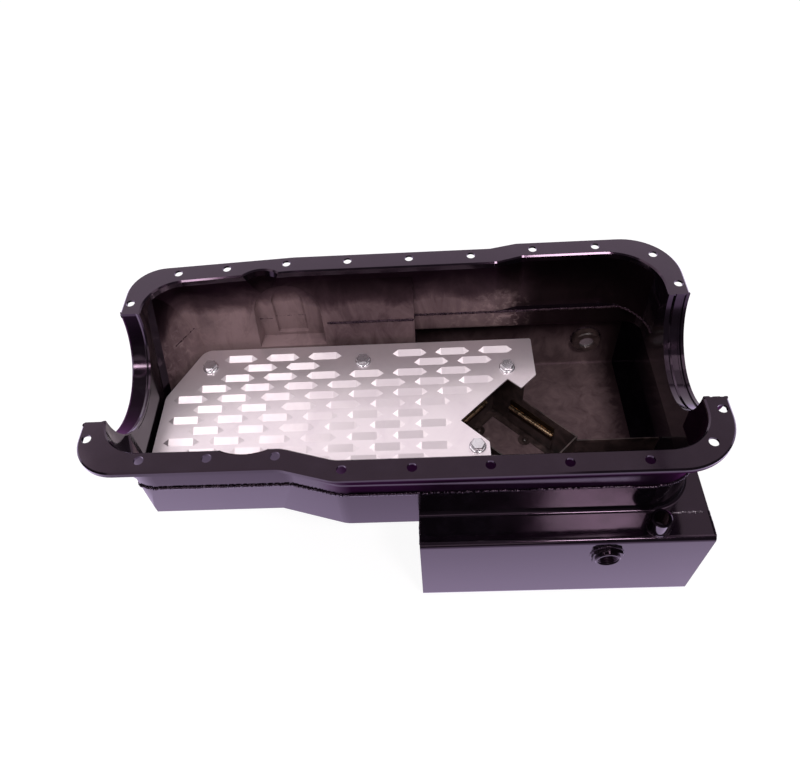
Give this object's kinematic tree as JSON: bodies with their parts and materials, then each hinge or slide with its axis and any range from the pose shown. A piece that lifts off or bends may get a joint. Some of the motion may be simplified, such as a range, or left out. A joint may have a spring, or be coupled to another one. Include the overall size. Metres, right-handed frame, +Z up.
{
  "type": "engine oil pan",
  "caption": "Fabricated engine oil pan with a bolt rail, half-round seal saddles, shallow front bowl, deep T-shaped rear sump, louvred windage tray and a diamond baffle box with trap doors.",
  "frame": {"origin": "on the crankshaft axis, in the plane of the rail's gasket face, midway along the rail", "axes": "+X along the crankshaft towards the flywheel end, where the deep sump is, +Z up, the gasket face's normal, +Y across the pan"},
  "size_m": [0.555, 0.321, 0.2],
  "materials": {
    "black_powder_coat": "satin gloss",
    "tray_aluminium": "brushed",
    "zinc_plate": "zinc plated",
    "hinge_brass": "satin",
    "copper_washer": "satin copper",
    "baffle_paint": "satin",
    "standoff_steel": "turned steel"
  },
  "bodies": {
    "pan": {"baffle_box": "baffle_paint", "dipstick_tube": "black_powder_coat", "drain_bung": "black_powder_coat", "drain_plug": "zinc_plate", "drain_washer": "copper_washer", "hinge_leaf_fixed_north_east": "hinge_brass", "hinge_leaf_fixed_north_west": "hinge_brass", "hinge_leaf_fixed_south_east": "hinge_brass", "hinge_leaf_fixed_south_west": "hinge_brass", "hinge_pin_north_east": "hinge_brass", "hinge_pin_north_west": "hinge_brass", "hinge_pin_south_east": "hinge_brass", "hinge_pin_south_west": "hinge_brass", "post_nuts": "zinc_plate", "rail_stamping": "black_powder_coat", "rear_deck": "black_powder_coat", "sensor_bung": "black_powder_coat", "shallow_section": "black_powder_coat", "sump_collar": "black_powder_coat", "sump_front_wall": "black_powder_coat", "sump_rear_wall": "black_powder_coat", "sump_wrap": "black_powder_coat", "tray_bolts": "zinc_plate", "tray_post": "baffle_paint", "tray_standoffs": "standoff_steel", "windage_tray": "tray_aluminium", "wing_far": "baffle_paint", "wing_front": "baffle_paint", "wing_near": "baffle_paint", "wing_rear": "baffle_paint"},
    "door_north_east": {"trap_door_north_east": "baffle_paint", "hinge_leaf_moving_north_east": "hinge_brass"},
    "door_south_west": {"trap_door_south_west": "baffle_paint", "hinge_leaf_moving_south_west": "hinge_brass"},
    "door_north_west": {"trap_door_north_west": "baffle_paint", "hinge_leaf_moving_north_west": "hinge_brass"},
    "door_south_east": {"trap_door_south_east": "baffle_paint", "hinge_leaf_moving_south_east": "hinge_brass"}
  },
  "joints": [
    {"name": "trap_door_north_east_hinge", "type": "hinge", "parent": "pan", "child": "door_north_east", "pos_m": [0.13754, 0.04052, -0.1675], "axis": [-0.7071, 0.7071, 0], "range_deg": [0, 40]},
    {"name": "trap_door_south_west_hinge", "type": "hinge", "parent": "pan", "child": "door_south_west", "pos_m": [0.09186, -0.00516, -0.1675], "axis": [0.7071, -0.7071, 0], "range_deg": [0, 40]},
    {"name": "trap_door_north_west_hinge", "type": "hinge", "parent": "pan", "child": "door_north_west", "pos_m": [0.07666, 0.05572, -0.1675], "axis": [-0.7071, -0.7071, 0], "range_deg": [0, 40]},
    {"name": "trap_door_south_east_hinge", "type": "hinge", "parent": "pan", "child": "door_south_east", "pos_m": [0.15274, -0.02036, -0.1675], "axis": [0.7071, 0.7071, 0], "range_deg": [0, 40]}
  ]
}
